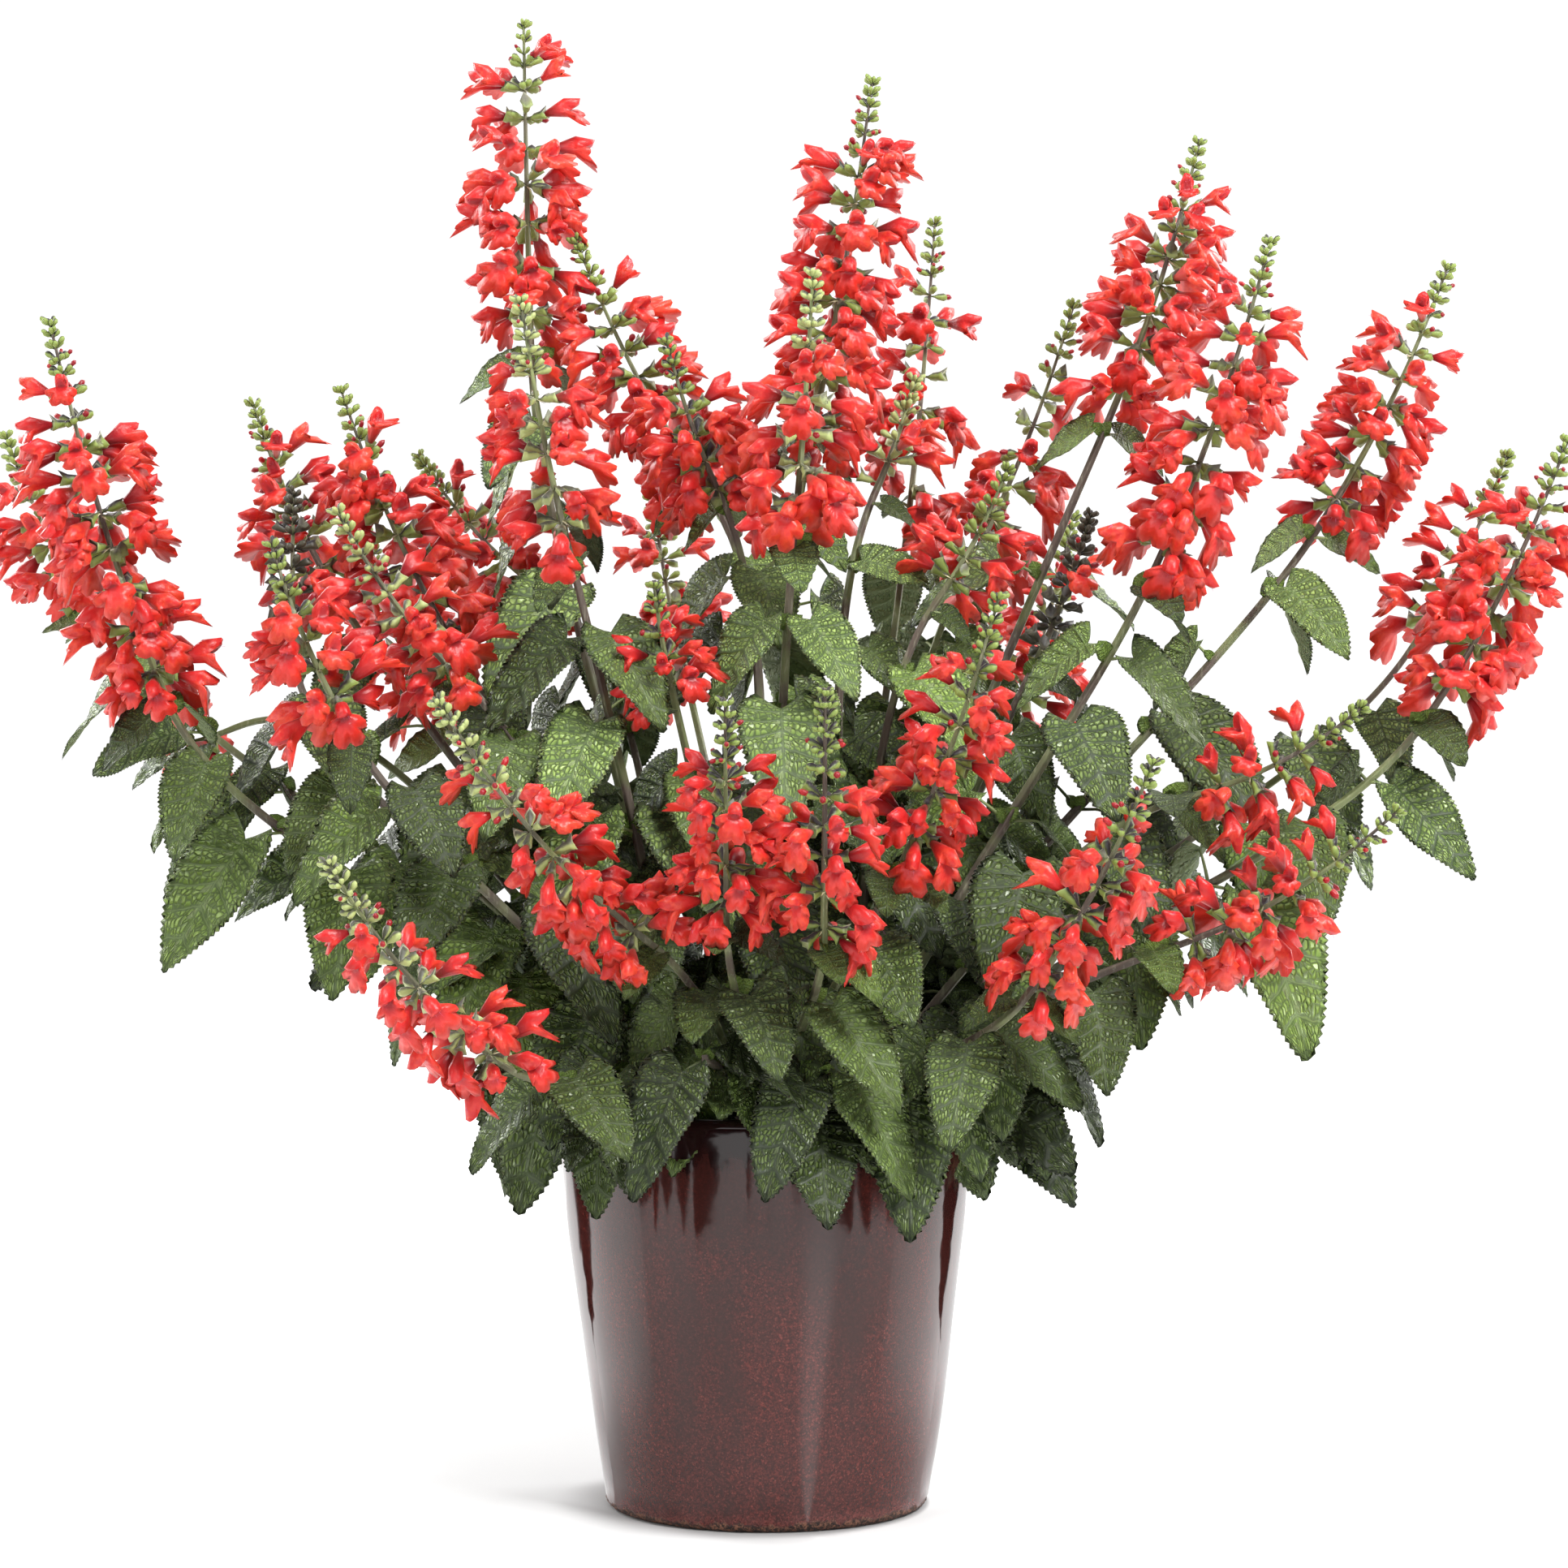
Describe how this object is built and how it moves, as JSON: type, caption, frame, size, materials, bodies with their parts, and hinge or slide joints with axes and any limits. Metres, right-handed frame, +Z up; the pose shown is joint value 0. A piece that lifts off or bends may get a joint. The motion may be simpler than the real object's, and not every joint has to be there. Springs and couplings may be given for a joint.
{
  "type": "potted scarlet sage",
  "caption": "Flowering scarlet sage in a tall tapered glazed pot: leafy square stems fan out from the soil and each ends in a raceme of red two-lipped flowers.",
  "frame": {"origin": "centre of the pot's underside, on the surface that it stands on", "axes": "+Z up, -Y towards the front of the plant, +X to the right seen from the front"},
  "size_m": [0.9154, 0.5877, 0.835],
  "materials": {
    "glaze": "glossy mottled brown-red glaze, bare clay at the foot",
    "soil": "rough loose potting soil",
    "foliage": "puckered leaf green, downy square stems",
    "flowers": "soft satin scarlet petals"
  },
  "bodies": {
    "root": {"pot": "glaze", "soil": "soil", "leafy_stems_1": "foliage", "leafy_stems_2": "foliage", "leafy_stems_3": "foliage", "leafy_stems_4": "foliage", "leafy_stems_5": "foliage", "leafy_stems_6": "foliage", "leafy_stems_7": "foliage", "raceme_01": "flowers", "raceme_02": "flowers", "raceme_03": "flowers", "raceme_04": "flowers", "raceme_05": "flowers", "raceme_06": "flowers", "raceme_07": "flowers", "raceme_08": "flowers", "raceme_09": "flowers", "raceme_10": "flowers", "raceme_11": "flowers", "raceme_12": "flowers", "raceme_13": "flowers", "raceme_14": "flowers", "raceme_15": "flowers", "raceme_16": "flowers", "raceme_17": "flowers", "raceme_18": "flowers", "raceme_19": "flowers", "raceme_20": "flowers", "raceme_21": "flowers", "raceme_22": "flowers", "raceme_23": "flowers", "raceme_24": "flowers", "raceme_25": "flowers", "raceme_26": "flowers", "raceme_27": "flowers", "raceme_28": "flowers", "raceme_29": "flowers", "raceme_30": "flowers", "raceme_31": "flowers", "raceme_32": "flowers", "raceme_33": "flowers", "raceme_34": "flowers", "raceme_35": "flowers", "raceme_36": "flowers", "raceme_37": "flowers", "raceme_38": "flowers", "raceme_39": "flowers"}
  },
  "joints": []
}
